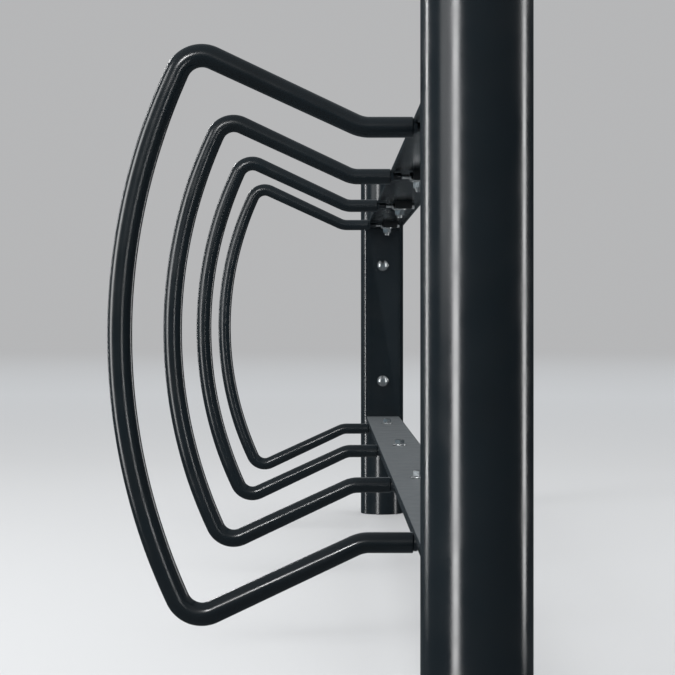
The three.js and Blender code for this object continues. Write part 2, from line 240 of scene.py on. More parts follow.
def makeSteel(name, look):
    material, tree, shader = nodeMaterial(name)
    cloud = noiseOn(tree, look["cloudScale"], 3.0)
    colour = blended(tree, spread(tree, cloud, 0.0, 1.0), look["dark"], look["light"])
    tree.links.new(colour, shader.inputs["Base Color"])
    grain = noiseOn(tree, look["grainScale"], 2.0, look["grainStretch"])
    tree.links.new(spread(tree, grain, look["smooth"], look["rough"]), shader.inputs["Roughness"])
    normal = relief(tree, ((grain, look["grainStrength"], look["grainDepth"]),))
    tree.links.new(normal, shader.inputs["Normal"])
    shader.inputs["Metallic"].default_value = 1.0
    return material


rackPaint = makePaint("rackPaint", powderCoat)
blockPaint = makePaint("blockPaint", blockCoat)
boltSteel = makeSteel("boltSteel", stainless)
print("materials made")


# Shapes that several pieces share

def placed(name, mesh):
    piece = bpy.data.objects.new(name, mesh)
    bpy.context.collection.objects.link(piece)
    return piece


def finished(piece):
    graph = bpy.context.evaluated_depsgraph_get()
    mesh = bpy.data.meshes.new_from_object(piece.evaluated_get(graph))
    name = piece.name
    bpy.data.objects.remove(piece)
    mesh.name = name
    return mesh


mergeDistance = 0.000002


def tidied(mesh):
    shape = bmesh.new()
    shape.from_mesh(mesh)
    bmesh.ops.remove_doubles(shape, verts=shape.verts, dist=mergeDistance)
    bmesh.ops.recalc_face_normals(shape, faces=shape.faces)
    shape.to_mesh(mesh)
    shape.free()
    return mesh


def meshFrom(name, points, faces):
    mesh = bpy.data.meshes.new(name)
    mesh.from_pydata([tuple(point) for point in points], [], faces)
    return tidied(mesh)


# A profile of (radius, height) turned about z, from one point on the axis to another.
def lathed(name, profile, sides):
    points = []
    faces = []
    for radius, height in profile:
        for side in range(sides):
            angle = 2.0 * math.pi * side / sides
            points.append((radius * math.cos(angle), radius * math.sin(angle), height))
    for ring in range(len(profile) - 1):
        for side in range(sides):
            across = (side + 1) % sides
            low = ring * sides
            high = low + sides
            faces.append((low + side, low + across, high + across, high + side))
    return meshFrom(name, points, faces)


# An outline in x and y, raised along z between two heights.
def raised(name, outline, low, high):
    count = len(outline)
    points = [(x, y, low) for x, y in outline] + [(x, y, high) for x, y in outline]
    faces = [tuple(range(count))[::-1], tuple(range(count, 2 * count))]
    for i in range(count):
        j = (i + 1) % count
        faces.append((i, j, count + j, count + i))
    return meshFrom(name, points, faces)


def rounded(corners, steps=5):
    outline = []
    count = len(corners)
    for i, (x, y, radius) in enumerate(corners):
        here = Vector((x, y))
        if radius <= 0.0:
            outline.append((x, y))
            continue
        before = (Vector(corners[i - 1][:2]) - here).normalized()
        after = (Vector(corners[(i + 1) % count][:2]) - here).normalized()
        half = before.angle(after) / 2.0
        centre = here + (before + after).normalized() * radius / math.sin(half)
        start = here + before * radius / math.tan(half) - centre
        turn = start.angle_signed(here + after * radius / math.tan(half) - centre)
        for step in range(steps + 1):
            arm = start.copy()
            arm.rotate(Matrix.Rotation(-turn * step / steps, 2))
            outline.append(tuple(centre + arm))
    return outline


def circle(radius):
    return [(radius * math.cos(math.radians(angle)), radius * math.sin(math.radians(angle)))
            for angle in range(0, 360, 10)]


def box2d(x0, x1, y0, y1, radius=0.0):
    return rounded([(x0, y0, radius), (x1, y0, radius), (x1, y1, radius), (x0, y1, radius)])


def turnedTo(mesh, axis, place=(0.0, 0.0, 0.0)):
    turns = {
        "x": Matrix.Rotation(math.radians(90.0), 4, "Y"),
        "y": Matrix.Rotation(math.radians(-90.0), 4, "X"),
        "-y": Matrix.Rotation(math.radians(90.0), 4, "X"),
        "-z": Matrix.Rotation(math.radians(180.0), 4, "X"),
    }
    mesh.transform(Matrix.Translation(place) @ turns[axis])
    return mesh


def combined(base, other, operation):
    work = placed("work", base)
    tool = placed("tool", other)
    modifier = work.modifiers.new("shape", "BOOLEAN")
    modifier.operation = operation
    modifier.solver = "EXACT"
    modifier.object = tool
    mesh = finished(work)
    bpy.data.objects.remove(tool)
    return mesh


def softened(mesh, width, segments=2, angle=35.0):
    work = placed("work", mesh)
    modifier = work.modifiers.new("edges", "BEVEL")
    modifier.width = width
    modifier.segments = segments
    modifier.limit_method = "ANGLE"
    modifier.angle_limit = math.radians(angle)
    return finished(work)


def joined(name, meshes):
    shape = bmesh.new()
    for mesh in meshes:
        shape.from_mesh(mesh)
    whole = bpy.data.meshes.new(name)
    shape.to_mesh(whole)
    shape.free()
    return whole


def smoothed(mesh, angle=32.0):
    mesh.shade_smooth()
    mesh.set_sharp_from_angle(angle=math.radians(angle))
    return mesh


# Large faces keep their flat shading, and only the broken edges beside them are shaded round.
def flatShaded(mesh, angle=40.0):
    work = placed("work", smoothed(mesh, angle))
    modifier = work.modifiers.new("normals", "WEIGHTED_NORMAL")
    modifier.keep_sharp = True
    return finished(work)


def declared(piece, material, nodes):
    piece.data.materials.clear()
    piece.data.materials.append(material)
    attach(piece, "root")
    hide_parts(*nodes)
    return piece


# Copies one template on to every point of a small mesh.
def repeatTree():
    tree = bpy.data.node_groups.new("repeatOnPoints", "GeometryNodeTree")
    face = tree.interface
    face.new_socket("Geometry", in_out="INPUT", socket_type="NodeSocketGeometry")
    face.new_socket("Template", in_out="INPUT", socket_type="NodeSocketObject")
    face.new_socket("Size", in_out="INPUT", socket_type="NodeSocketFloat")
    face.new_socket("Finish", in_out="INPUT", socket_type="NodeSocketMaterial")
    face.new_socket("Geometry", in_out="OUTPUT", socket_type="NodeSocketGeometry")
    start = tree.nodes.new("NodeGroupInput")
    info = tree.nodes.new("GeometryNodeObjectInfo")
    copies = tree.nodes.new("GeometryNodeInstanceOnPoints")
    real = tree.nodes.new("GeometryNodeRealizeInstances")
    finish = tree.nodes.new("GeometryNodeSetMaterial")
    end = tree.nodes.new("NodeGroupOutput")
    links = tree.links
    links.new(start.outputs["Geometry"], copies.inputs["Points"])
    links.new(start.outputs["Template"], info.inputs["Object"])
    links.new(info.outputs["Geometry"], copies.inputs["Instance"])
    links.new(start.outputs["Size"], copies.inputs["Scale"])
    links.new(copies.outputs["Instances"], real.inputs["Geometry"])
    links.new(real.outputs["Geometry"], finish.inputs["Geometry"])
    links.new(start.outputs["Finish"], finish.inputs["Material"])
    links.new(finish.outputs["Geometry"], end.inputs["Geometry"])
    return tree


def socketNames(tree):
    return {item.name: item.identifier for item in tree.interface.items_tree if item.in_out == "INPUT"}


repeatOnPoints = repeatTree()


def repeated(name, template, places, material):
    pattern = placed(name + "Template", template)
    points = placed(name, meshFrom(name, places, []))
    modifier = points.modifiers.new("copies", "NODES")
    modifier.node_group = repeatOnPoints
    sockets = socketNames(repeatOnPoints)
    modifier[sockets["Template"]] = pattern
    modifier[sockets["Size"]] = 1.0
    modifier[sockets["Finish"]] = material
    mesh = finished(points)
    bpy.data.objects.remove(pattern)
    return placed(name, smoothed(mesh))


# Runs a tube along a chain of points, as wide as each point says, and then pressed towards
# the path's own plane by each point's share.
def tubeTree():
    tree = bpy.data.node_groups.new("tubeAlongPath", "GeometryNodeTree")
    face = tree.interface
    face.new_socket("Geometry", in_out="INPUT", socket_type="NodeSocketGeometry")
    face.new_socket("Sides", in_out="INPUT", socket_type="NodeSocketInt")
    face.new_socket("Plane", in_out="INPUT", socket_type="NodeSocketFloat")
    face.new_socket("Finish", in_out="INPUT", socket_type="NodeSocketMaterial")
    face.new_socket("Geometry", in_out="OUTPUT", socket_type="NodeSocketGeometry")
    start = tree.nodes.new("NodeGroupInput")
    chain = tree.nodes.new("GeometryNodeMeshToCurve")
    circle = tree.nodes.new("GeometryNodeCurvePrimitiveCircle")
    circle.inputs["Radius"].default_value = 1.0
    thickness = tree.nodes.new("GeometryNodeInputNamedAttribute")
    thickness.data_type = "FLOAT"
    thickness.inputs["Name"].default_value = "tubeRadius"
    sweep = tree.nodes.new("GeometryNodeCurveToMesh")
    sweep.inputs["Fill Caps"].default_value = True
    pressed = tree.nodes.new("GeometryNodeInputNamedAttribute")
    pressed.data_type = "FLOAT"
    pressed.inputs["Name"].default_value = "pressedShare"
    place = tree.nodes.new("GeometryNodeInputPosition")
    parts = tree.nodes.new("ShaderNodeSeparateXYZ")
    fromPlane = tree.nodes.new("ShaderNodeMath")
    fromPlane.operation = "SUBTRACT"
    inward = tree.nodes.new("ShaderNodeMath")
    inward.operation = "MULTIPLY"
    offset = tree.nodes.new("ShaderNodeCombineXYZ")
    press = tree.nodes.new("GeometryNodeSetPosition")
    real = tree.nodes.new("GeometryNodeRealizeInstances")
    finish = tree.nodes.new("GeometryNodeSetMaterial")
    end = tree.nodes.new("NodeGroupOutput")
    links = tree.links
    links.new(start.outputs["Geometry"], chain.inputs["Mesh"])
    links.new(start.outputs["Sides"], circle.inputs["Resolution"])
    links.new(chain.outputs["Curve"], sweep.inputs["Curve"])
    links.new(circle.outputs["Curve"], sweep.inputs["Profile Curve"])
    links.new(thickness.outputs["Attribute"], sweep.inputs["Scale"])
    links.new(place.outputs["Position"], parts.inputs["Vector"])
    links.new(start.outputs["Plane"], fromPlane.inputs[0])
    links.new(parts.outputs["Y"], fromPlane.inputs[1])
    links.new(fromPlane.outputs["Value"], inward.inputs[0])
    links.new(pressed.outputs["Attribute"], inward.inputs[1])
    links.new(inward.outputs["Value"], offset.inputs["Y"])
    links.new(sweep.outputs["Mesh"], press.inputs["Geometry"])
    links.new(offset.outputs["Vector"], press.inputs["Offset"])
    links.new(press.outputs["Geometry"], real.inputs["Geometry"])
    links.new(real.outputs["Geometry"], finish.inputs["Geometry"])
    links.new(start.outputs["Finish"], finish.inputs["Material"])
    links.new(finish.outputs["Geometry"], end.inputs["Geometry"])
    return tree


tubeAlongPath = tubeTree()


def tubePiece(name, chains, plane, sides, material):
    points = []
    edges = []
    radii = []
    shares = []
    for chain in chains:
        first = len(points)
        for x, z, radius, share in chain:
            points.append((x, plane, z))
            radii.append(radius)
            shares.append(share)
        edges += [(i, i + 1) for i in range(first, len(points) - 1)]
    mesh = bpy.data.meshes.new(name)
    mesh.from_pydata(points, edges, [])
    mesh.attributes.new("tubeRadius", "FLOAT", "POINT").data.foreach_set("value", radii)
    mesh.attributes.new("pressedShare", "FLOAT", "POINT").data.foreach_set("value", shares)
    path = placed(name, mesh)
    modifier = path.modifiers.new("tube", "NODES")
    modifier.node_group = tubeAlongPath
    sockets = socketNames(tubeAlongPath)
    modifier[sockets["Sides"]] = sides
    modifier[sockets["Plane"]] = plane
    modifier[sockets["Finish"]] = material
    return placed(name, smoothed(tidied(finished(path))))


# Loops of tube, round at their ends and pressed oval in the bow, each end with its spigot

loop = {
    "endReach": 0.0433,
    "bendReach": 0.103,
    "cornerReach": 0.302,
    "bowDepth": 0.0805,
    "armAngle": 25.0,
    "bendRadius": 0.042,
    "cornerRadius": 0.031,
    "endRadius": 0.01215,
    "bowHalfWidth": 0.0145,
    "bowHalfDepth": 0.009,
    "swellLength": 0.320,
    "endChamfer": 0.0009,
    "spigotRadius": 0.0059,
    "spigotLength": 0.017,
    "sides": 48,
    "bendSteps": 10,
    "cornerSteps": 22,
    "armSteps": 12,
    "bowSteps": 40,
}


def halfLoopPath(size, endHeight):
    slope = math.radians(size["armAngle"])
    rise = math.tan(slope)
    cornerHeight = endHeight + (size["cornerReach"] - size["bendReach"]) * rise
    bow = (cornerHeight ** 2 + size["bowDepth"] ** 2) / (2.0 * size["bowDepth"])
    bowCentre = size["cornerReach"] + size["bowDepth"] - bow
    path = [(size["endReach"], endHeight)]
    setback = size["bendRadius"] * math.tan(slope / 2.0)
    for i in range(size["bendSteps"] + 1):
        angle = slope * i / size["bendSteps"]
        path.append((size["bendReach"] - setback + size["bendRadius"] * math.sin(angle),
                     endHeight + size["bendRadius"] * (1.0 - math.cos(angle))))
    radius = size["cornerRadius"]
    offset = endHeight - size["bendReach"] * rise - radius / math.cos(slope)
    square = 1.0 + rise ** 2
    half = bowCentre - offset * rise
    rest = bowCentre ** 2 + offset ** 2 - (bow - radius) ** 2
    centreReach = (half + math.sqrt(half ** 2 - square * rest)) / square
    centreHeight = offset + centreReach * rise
    bowStart = math.atan2(centreHeight, centreReach - bowCentre)
    turn = math.pi / 2.0 + slope - bowStart
    corner = []
    for i in range(size["cornerSteps"] + 1):
        angle = slope - turn * i / size["cornerSteps"]
        corner.append((centreReach - radius * math.sin(angle), centreHeight + radius * math.cos(angle)))
    armStart = Vector(path[-1])
    armEnd = Vector(corner[0])
    path += [tuple(armStart.lerp(armEnd, i / size["armSteps"])) for i in range(1, size["armSteps"])]
    path += corner
    for i in range(1, size["bowSteps"] + 1):
        around = bowStart * (1.0 - i / size["bowSteps"])
        path.append((bowCentre + bow * math.cos(around), bow * math.sin(around)))
    return path


def loopChains(size):
    middle = sum(rack["endHeights"].values()) / 2.0
    endHeight = rack["endHeights"]["upper"] - middle
    upper = halfLoopPath(size, endHeight)
    path = upper + [(reach, -height) for reach, height in upper[-2::-1]]
    distances = [0.0]
    for here, after in zip(path, path[1:]):
        distances.append(distances[-1] + (Vector(after) - Vector(here)).length)
    straight = size["bendReach"] - size["endReach"]
    chain = []
    for (reach, height), distance in zip(path, distances):
        fromEnd = min(distance, distances[-1] - distance)
        grown = min(max((fromEnd - straight) / size["swellLength"], 0.0), 1.0)
        width = size["endRadius"] + (size["bowHalfWidth"] - size["endRadius"]) * grown
        depth = size["endRadius"] + (size["bowHalfDepth"] - size["endRadius"]) * grown
        chain.append((rack["postX"] - reach, middle + height, width, 1.0 - depth / width))
    chamfer = size["endChamfer"]
    ends = []
    for x, z, radius, share in (chain[0], chain[-1]):
        ends.append([(x, z, radius - chamfer, share), (x - chamfer, z, radius, share)])
    chain = ends[0] + chain[1:-1] + ends[1][::-1]
    spigots = []
    for height in rack["endHeights"].values():
        back = rack["postX"] - size["endReach"] + size["spigotLength"]
        radius = size["spigotRadius"]
        spigots.append([(back - size["spigotLength"] - chamfer, height, radius, 0.0),
                        (back - chamfer, height, radius, 0.0), (back, height, radius - chamfer, 0.0)])
    return [chain] + spigots


for number, y in enumerate(rack["loopY"], 1):
    piece = tubePiece(f"bowedLoop{number}", loopChains(loop), y, loop["sides"], rackPaint)
    declared(piece, rackPaint, [f"loop_{number}"])
print("loops made")


# Rails: shallow folded channels, open side down, with a drilled tab at each loop

rail = {
    "half": 0.043,
    "depth": 0.0085,
    "sheet": 0.004,
    "fold": 0.0028,
    "rise": 0.01215,
    "halfLength": 1.5374,
    "tabWidth": 0.034,
    "tabDrop": 0.021,
    "tabCorner": 0.006,
    "spigotHole": 0.0063,
    "clampHole": 0.0065,
    "clampOffset": 0.016,
    "tongueHalf": 0.025,
    "tongueReach": 0.0082,
    "drillPast": 0.002,
    "leastFold": 0.0005,
    "edge": 0.0004,
}


def railMesh(name, size, height):
    half, sheet, depth = size["half"], size["sheet"], size["depth"]
    long, past = size["halfLength"], size["drillPast"]
    inner = max(size["fold"] - sheet, size["leastFold"])
    section = rounded([
        (-half, -depth, 0.0), (-half + sheet, -depth, 0.0), (-half + sheet, -sheet, inner),
        (half - sheet, -sheet, inner), (half - sheet, -depth, 0.0), (half, -depth, 0.0),
        (half, 0.0, size["fold"]), (-half, 0.0, size["fold"]),
    ])
    channel = turnedTo(raised("channel", section, -long, long), "-y")
    outline = box2d(-size["tongueHalf"], size["tongueHalf"], -long - size["tongueReach"],
                    long + size["tongueReach"])
    tongue = raised("tongue", outline, -sheet, -size["fold"] / 2.0)
    channel = combined(channel, tongue, "UNION")
    for y in rack["loopY"]:
        wide = size["tabWidth"] / 2.0
        corner = size["tabCorner"]
        outline = rounded([(-wide, -size["tabDrop"], corner), (wide, -size["tabDrop"], corner),
                           (wide, -sheet, 0.0), (-wide, -sheet, 0.0)])
        tab = raised("tab", outline, 0.0, sheet)
        tab.transform(Matrix(((0, 0, 1, -half), (1, 0, 0, y), (0, 1, 0, 0), (0, 0, 0, 1))))
        channel = combined(channel, tab, "UNION")
        drill = raised("drill", circle(size["spigotHole"]), -past, sheet + past)
        turnedTo(drill, "x", (-half, y, -size["rise"]))
        channel = combined(channel, drill, "DIFFERENCE")
        drill = raised("drill", circle(size["clampHole"]), -sheet - past, past)
        drill.transform(Matrix.Translation((0.0, y - size["clampOffset"], 0.0)))
        channel = combined(channel, drill, "DIFFERENCE")
    channel = softened(channel, size["edge"], angle=50.0)
    channel.transform(Matrix.Translation((rack["postX"], 0.0, height + size["rise"])))
    channel = flatShaded(channel)
    channel.name = name
    return channel


for level, height in rack["endHeights"].items():
    piece = placed(f"{level}Rail", railMesh(f"{level}Rail", rail, height))
    declared(piece, rackPaint, [f"{level}_rail"])
print("rails made")


# Posts, with their caps

post = {
    "radius": 0.054,
    "wall": 0.005,
    "top": 0.8527,
    "chamfer": 0.0012,
    "capRim": 0.004,
    "capCrown": 0.003,
    "capDepth": 0.020,
    "capLip": 0.004,
    "capSoft": 0.001,
    "capEdge": 0.0008,
    "rimSteps": 12,
    "crownSteps": 8,
    "sides": 128,
}


def postMesh(name, size, y):
    outer, chamfer, top = size["radius"], size["chamfer"], size["top"]
    inner = outer - size["wall"]
    profile = [(inner, 0.0), (outer - chamfer, 0.0), (outer, chamfer), (outer, top - chamfer),
               (outer - chamfer, top), (inner, top), (inner, 0.0)]
    mesh = lathed(name, profile, size["sides"])
    mesh.transform(Matrix.Translation((rack["postX"], y, 0.0)))
    return smoothed(mesh)


def capMesh(name, size, y):
    outer = size["radius"]
    plug = outer - size["wall"] - rack["seatGap"]
    depth, rim, crown = size["capDepth"], size["capRim"], size["capCrown"]
    lip, soft, edge = size["capLip"], size["capSoft"], size["capEdge"]
    profile = [(0.0, -depth), (plug - soft, -depth), (plug, -depth + soft), (plug, 0.0),
               (outer - edge, 0.0), (outer, edge)]
    for step in range(size["rimSteps"] + 1):
        angle = math.pi / 2.0 * step / size["rimSteps"]
        profile.append((outer - lip + lip * math.cos(angle), rim - soft + 2.0 * soft * math.sin(angle)))
    for step in range(1, size["crownSteps"] + 1):
        share = step / size["crownSteps"]
        rise = (crown - soft) * math.sin(share * math.pi / 2.0)
        profile.append(((outer - lip) * (1.0 - share), rim + soft + rise))
    mesh = lathed(name, profile, size["sides"])
    mesh.transform(Matrix.Translation((rack["postX"], y, size["top"] + rack["seatGap"])))
    return smoothed(mesh)


for end, y in (("near", -rack["postY"]), ("far", rack["postY"])):
    for kind, node, shaped in (("Post", "post", postMesh), ("Cap", "post_cap", capMesh)):
        piece = placed(end + kind, shaped(end + kind, post, y))
        declared(piece, rackPaint, [f"{node}_{end}"])
    frame["nodes"][f"post_foot_{end}"].data.materials.clear()
    frame["nodes"][f"post_foot_{end}"].data.materials.append(rackPaint)
print("posts made")


# End plates

plate = {
    "half": 0.043,
    "thickness": 0.008,
    "bottom": 0.24065,
    "top": 0.72915,
    "corner": 0.004,
    "inner": 1.5377,
    "boltSpacing": 0.292,
    "boltShank": 0.026,
    "slotPast": 0.002,
    "edge": 0.0008,
}


def plateMesh(name, size, direction):
    outline = box2d(-size["half"], size["half"], size["bottom"], size["top"], size["corner"])
    mesh = raised(name, outline, 0.0, size["thickness"])
    mesh.transform(Matrix(((1, 0, 0, 0), (0, 0, 1, 0), (0, 1, 0, 0), (0, 0, 0, 1))))
    tidied(mesh)
    gap, past = rack["seatGap"], size["slotPast"]
    half = rail["tongueHalf"] + gap
    for height in rack["endHeights"].values():
        top = height + rail["rise"]
        slot = raised("slot", box2d(-half, half, -past, size["thickness"] + past),
                      top - rail["sheet"] - gap, top - rail["fold"] / 2.0 + gap)
        mesh = combined(mesh, slot, "DIFFERENCE")
    mesh = softened(mesh, size["edge"], segments=3, angle=50.0)
    side = Matrix.Translation((rack["postX"], size["inner"], 0.0))
    if direction < 0:
        side = Matrix.Rotation(math.pi, 4, "Z") @ Matrix.Translation((-rack["postX"], size["inner"], 0.0))
    mesh.transform(side)
    mesh = flatShaded(mesh)
    mesh.name = name
    return mesh


for end, direction in (("near", -1), ("far", 1)):
    piece = placed(f"{end}EndPlate", plateMesh(f"{end}EndPlate", plate, direction))
    declared(piece, rackPaint, [f"end_plate_{end}"])
print("end plates made")


# Clamp blocks, bolts and nuts at every loop end

clamp = {
    "blockFront": 0.008,
    "blockBack": 0.024,
    "blockDrop": 0.0065,
    "blockTop": 0.00785,
    "blockLength": 0.048,
    "blockEdge": 0.0015,
    "offset": 0.016,
    "boltRadius": 0.006,
    "headHeight": 0.0115,
    "hexHalf": 0.009,
    "nutHeight": 0.012,
    "tail": 0.006,
    "flangeRadius": 0.0135,
    "flangeRim": 0.0016,
    "flangeSlope": 0.0018,
    "flangeEdge": 0.0004,
    "flangeStep": 0.002,
    "coneShare": 1.02,
    "plainShare": 0.45,
    "headLap": 0.001,
    "threadLap": 0.0005,
    "boreSpare": 0.0001,
    "boreEdge": 0.001,
    "drillSpare": 0.0003,
    "softEdge": 0.0005,
    "pitch": 0.00175,
}

draw = {
    "radius": 0.004,
    "hexHalf": 0.0065,
    "headHeight": 0.0053,
    "nutHeight": 0.0058,
    "grip": 0.010,
    "washerShare": 0.95,
    "washerLow": 0.0001,
    "washerHigh": 0.0004,
    "threadLap": 0.0002,
    "boreSpare": 0.0001,
    "boreEdge": 0.0006,
    "borePast": 0.001,
    "drillSpare": 0.0002,
    "drillReach": 0.02,
    "pitch": 0.00125,
}

# A hexagon's turned corners, a thread's depth and steps for each turn, and the sides of what is round.
hexagon = {"chamferShare": 0.62, "faceShare": 0.97, "spare": 0.0001, "turnedSides": 96}
screw = {"depthShare": 0.54, "stepsPerTurn": 6, "sides": 28}
turned = {"flange": 64, "nutBore": 48, "washer": 48, "shank": 32, "drill": 36}


def hexOutline(half):
    corner = half / math.cos(math.pi / 6.0)
    return [(corner * math.sin(math.radians(angle)), corner * math.cos(math.radians(angle)))
            for angle in range(0, -360, -60)]


# A hexagon with its corners turned off at one end or both.
def hexMesh(name, half, low, high, bothEnds=False):
    prism = raised(name, hexOutline(half), low, high)
    corner = half / math.cos(math.pi / 6.0)
    chamfer = (corner - half) * hexagon["chamferShare"]
    reach = corner + hexagon["spare"]
    bottom = [(0.0, low), (half, low), (reach, low + chamfer)] if bothEnds else [(0.0, low), (reach, low)]
    profile = bottom + [(reach, high - chamfer), (half * hexagon["faceShare"], high), (0.0, high)]
    return combined(prism, lathed("turned", profile, hexagon["turnedSides"]), "INTERSECT")


# A screw thread about z, from low to high, whose ends taper in.
def threadMesh(name, radius, pitch, low, high):
    sides = screw["sides"]
    depth = pitch * screw["depthShare"]
    steps = max(2, round((high - low) / pitch * screw["stepsPerTurn"]))
    points = []
    for step in range(steps + 1):
        z = low + (high - low) * step / steps
        for side in range(sides):
            turn = side / sides
            phase = (z / pitch - turn) % 1.0
            ridge = abs(2.0 * phase - 1.0)
            ease = min(1.0, (z - low) / pitch, (high - z) / pitch)
            reach = radius - depth * (1.0 - ridge * max(ease, 0.0))
            angle = 2.0 * math.pi * turn
            points.append((reach * math.cos(angle), reach * math.sin(angle), z))
    faces = [tuple(range(sides))[::-1], tuple(range(steps * sides, (steps + 1) * sides))]
    for step in range(steps):
        for side in range(sides):
            across = (side + 1) % sides
            near = step * sides
            far = near + sides
            faces.append((near + side, near + across, far + across, far + side))
    return meshFrom(name, points, faces)


def flangeProfile(size):
    rim, slope = size["flangeRim"], size["flangeSlope"]
    outer, edge = size["flangeRadius"], size["flangeEdge"]
    return [(0.0, 0.0), (outer - edge, 0.0), (outer, edge), (outer, rim - edge), (outer - edge, rim),
            (outer - size["flangeStep"], rim + slope / 4.0),
            (size["hexHalf"] * size["coneShare"], rim + slope), (0.0, rim + slope)]


def clampBoltMesh(size, shank):
    head = hexMesh("head", size["hexHalf"], size["flangeRim"], size["headHeight"])
    flange = lathed("flange", flangeProfile(size), turned["flange"])
    radius, lap = size["boltRadius"], size["headLap"]
    start = -shank * size["plainShare"]
    plain = lathed("shank", [(0.0, start), (radius, start), (radius, lap), (0.0, lap)], turned["shank"])
    thread = threadMesh("thread", radius, size["pitch"], -shank, start + size["threadLap"])
    return joined("clampBolt", [combined(head, flange, "UNION"), plain, thread])


def clampNutMesh(size):
    nut = hexMesh("nut", size["hexHalf"], size["flangeRim"], size["nutHeight"])
    body = combined(nut, lathed("flange", flangeProfile(size), turned["flange"]), "UNION")
    bore, edge, top = size["boltRadius"] + size["boreSpare"], size["boreEdge"], size["nutHeight"]
    drill = lathed("bore", [(0.0, -edge), (bore + edge, -edge), (bore + edge, 0.0), (bore, edge),
                            (bore, top - edge), (bore + edge, top), (bore + edge, top + edge),
                            (0.0, top + edge)], turned["nutBore"])
    return combined(body, drill, "DIFFERENCE")


def drawBoltMesh(size, shank):
    head = turnedTo(hexMesh("head", size["hexHalf"], 0.0, size["headHeight"]), "x")
    wide, low, high = size["hexHalf"] * size["washerShare"], -size["washerLow"], size["washerHigh"]
    profile = [(0.0, low), (wide, low), (wide, high), (0.0, high)]
    washer = turnedTo(lathed("washer", profile, turned["washer"]), "x")
    thread = turnedTo(threadMesh("thread", size["radius"], size["pitch"], -shank, size["threadLap"]), "x")
    return joined("drawBolt", [combined(head, washer, "UNION"), thread])


def jamNutMesh(size):
    low, past = -size["nutHeight"], size["borePast"]
    nut = hexMesh("jamNut", size["hexHalf"], low, 0.0, True)
    bore, edge = size["radius"] + size["boreSpare"], size["boreEdge"]
    drill = lathed("bore", [(0.0, low - past), (bore + edge, low - past), (bore + edge, low),
                            (bore, low + edge), (bore, -edge), (bore + edge, 0.0), (bore + edge, past),
                            (0.0, past)], turned["drill"])
    return turnedTo(combined(nut, drill, "DIFFERENCE"), "x")


def blockMesh(size):
    front, back, drop = size["blockFront"], size["blockBack"], size["blockDrop"]
    top, edge = size["blockTop"], size["blockEdge"]
    outline = [(-front, top), (-front, -drop + edge), (-front + edge, -drop), (back - edge, -drop),
               (back, -drop + edge), (back, top)]
    bar = raised("bar", outline, 0.0, size["blockLength"])
    start = -(size["blockLength"] + size["offset"]) / 2.0
    bar.transform(Matrix(((1, 0, 0, 0), (0, 0, 1, start), (0, 1, 0, 0), (0, 0, 0, 1))))
    tidied(bar)
    cross, reach = draw["radius"] + draw["drillSpare"], draw["drillReach"]
    drill = lathed("drill", [(0.0, -reach), (cross, -reach), (cross, 2.0 * reach), (0.0, 2.0 * reach)],
                   turned["drill"])
    bar = combined(bar, turnedTo(drill, "x"), "DIFFERENCE")
    upright = size["boltRadius"] + size["drillSpare"]
    drill = lathed("drill", [(0.0, -reach), (upright, -reach), (upright, reach), (0.0, reach)],
                   turned["drill"])
    drill.transform(Matrix.Translation((0.0, -size["offset"], 0.0)))
    bar = combined(bar, drill, "DIFFERENCE")
    return softened(bar, size["softEdge"], angle=40.0)


def endPlaces(x, y, z):
    return [(rack["postX"] + x, loopY + y, height + z) for loopY in rack["loopY"]
            for height in rack["endHeights"].values()]


def endNodes(kind):
    return [f"{kind}_{number}_{level}" for number in range(1, len(rack["loopY"]) + 1)
            for level in rack["endHeights"]]


gap = rack["seatGap"]
clampShank = rail["rise"] + gap + clamp["blockDrop"] + gap + clamp["nutHeight"] + clamp["tail"]
drawShank = clamp["blockBack"] + gap + loop["endReach"] + draw["grip"]

paintFinish = (blockPaint, "powder_coat")
steelFinish = (boltSteel, "stainless_steel")
hardware = (
    ("clampBlocks", "clamp_block", blockMesh(clamp), (0.0, 0.0, 0.0), paintFinish),
    ("clampBolts", "clamp_bolt", clampBoltMesh(clamp, clampShank),
     (0.0, -clamp["offset"], rail["rise"] + gap), steelFinish),
    ("clampNuts", "clamp_nut", turnedTo(clampNutMesh(clamp), "-z"),
     (0.0, -clamp["offset"], -clamp["blockDrop"] - gap), steelFinish),
    ("drawBolts", "draw_bolt", drawBoltMesh(draw, drawShank), (clamp["blockBack"] + gap, 0.0, 0.0),
     steelFinish),
    ("jamNuts", "jam_nut", jamNutMesh(draw), (-clamp["blockFront"] - gap, 0.0, 0.0), steelFinish),
)
for name, node, template, place, (material, slot) in hardware:
    declared(repeated(name, template, endPlaces(*place), material), material, endNodes(node))

plateMiddle = (plate["bottom"] + plate["top"]) / 2.0
boltHeights = (plateMiddle - plate["boltSpacing"] / 2.0, plateMiddle + plate["boltSpacing"] / 2.0)
for end, direction in (("near", 1.0), ("far", -1.0)):
    template = turnedTo(clampBoltMesh(clamp, plate["boltShank"]), "-y" if direction < 0 else "y")
    places = [(rack["postX"], -direction * (plate["inner"] - gap), height) for height in boltHeights]
    piece = repeated(f"{end}PlateBolts", template, places, boltSteel)
    declared(piece, boltSteel, [f"plate_bolt_{end}_1", f"plate_bolt_{end}_2"])
print("hardware made")


# Floor, backdrop and light

